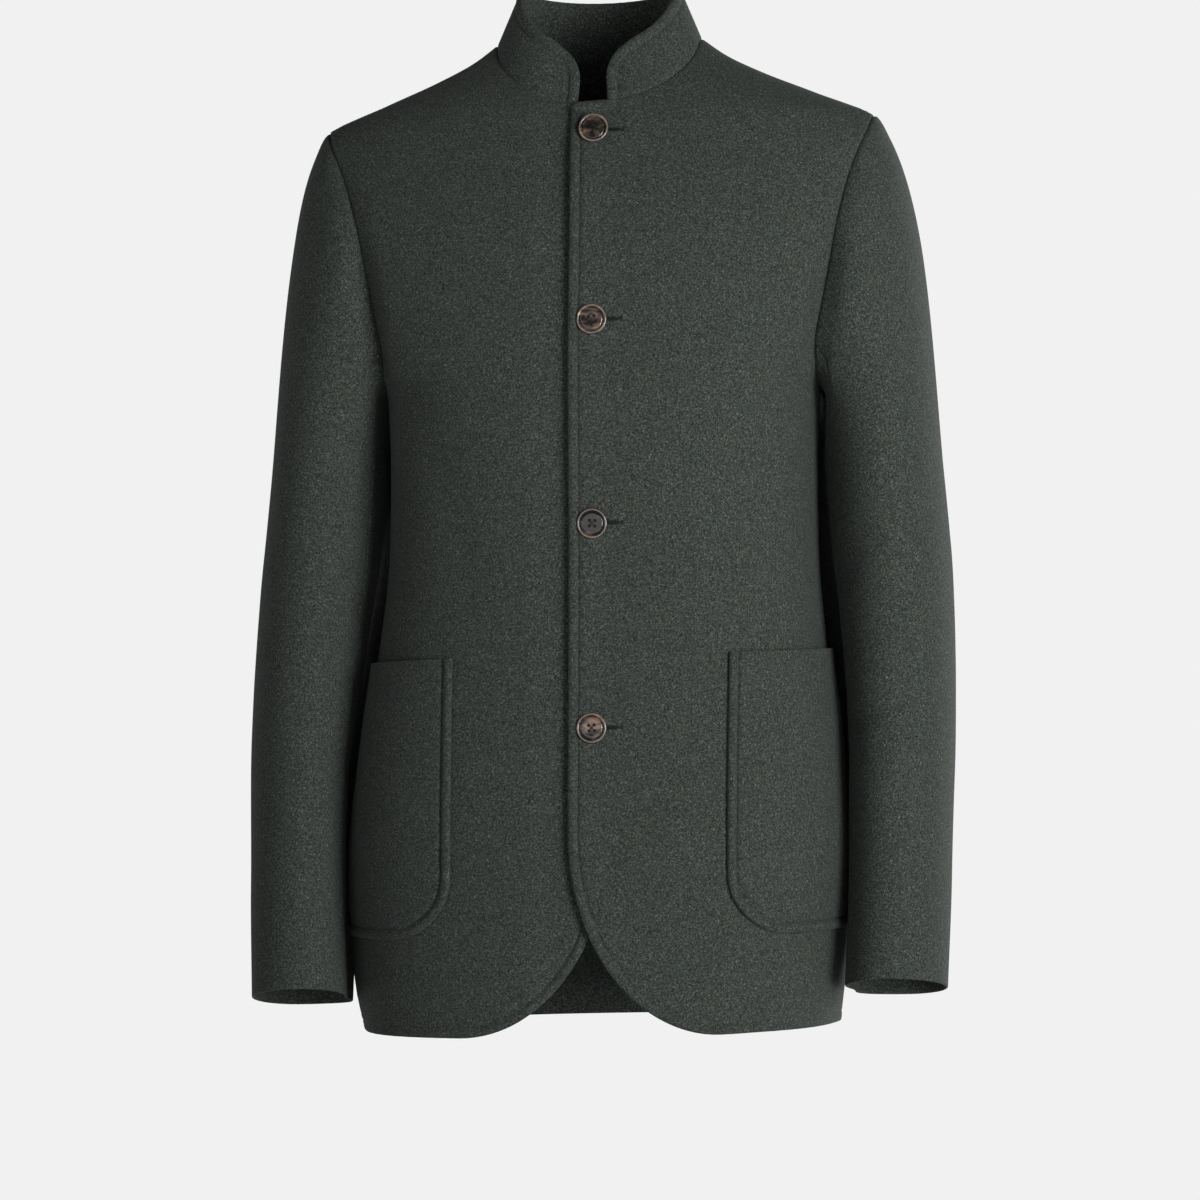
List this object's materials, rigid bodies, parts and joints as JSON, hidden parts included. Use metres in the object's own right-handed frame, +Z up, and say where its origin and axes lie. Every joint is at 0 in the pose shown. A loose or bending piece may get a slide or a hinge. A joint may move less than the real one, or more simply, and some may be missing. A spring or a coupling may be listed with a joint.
{
  "type": "stand-collar jacket",
  "caption": "Hollow worn-shape wool jacket with a stand collar, buttoned overlapping fronts, patch pockets, a rounded cutaway hem and plain two-piece sleeves.",
  "frame": {"origin": "middle of the neck opening, level with the points where the shoulder seams meet the collar, where the wearer's shoulders carry the jacket", "axes": "+Z up, -Y the way the front faces, +X the wearer's left"},
  "size_m": [0.5406, 0.2519, 0.8006],
  "materials": {
    "wool": "felted grey-green melange wool, matt with a short nap",
    "horn": "dark brown horn, polished"
  },
  "bodies": {
    "root": {"back": "wool", "collar": "wool", "front_left": "wool", "front_right": "wool", "pocket_left": "wool", "pocket_right": "wool", "top_sleeve_left": "wool", "top_sleeve_right": "wool", "under_sleeve_left": "wool", "under_sleeve_right": "wool", "button_1": "horn", "button_2": "horn", "button_3": "horn", "button_4": "horn"}
  },
  "joints": []
}
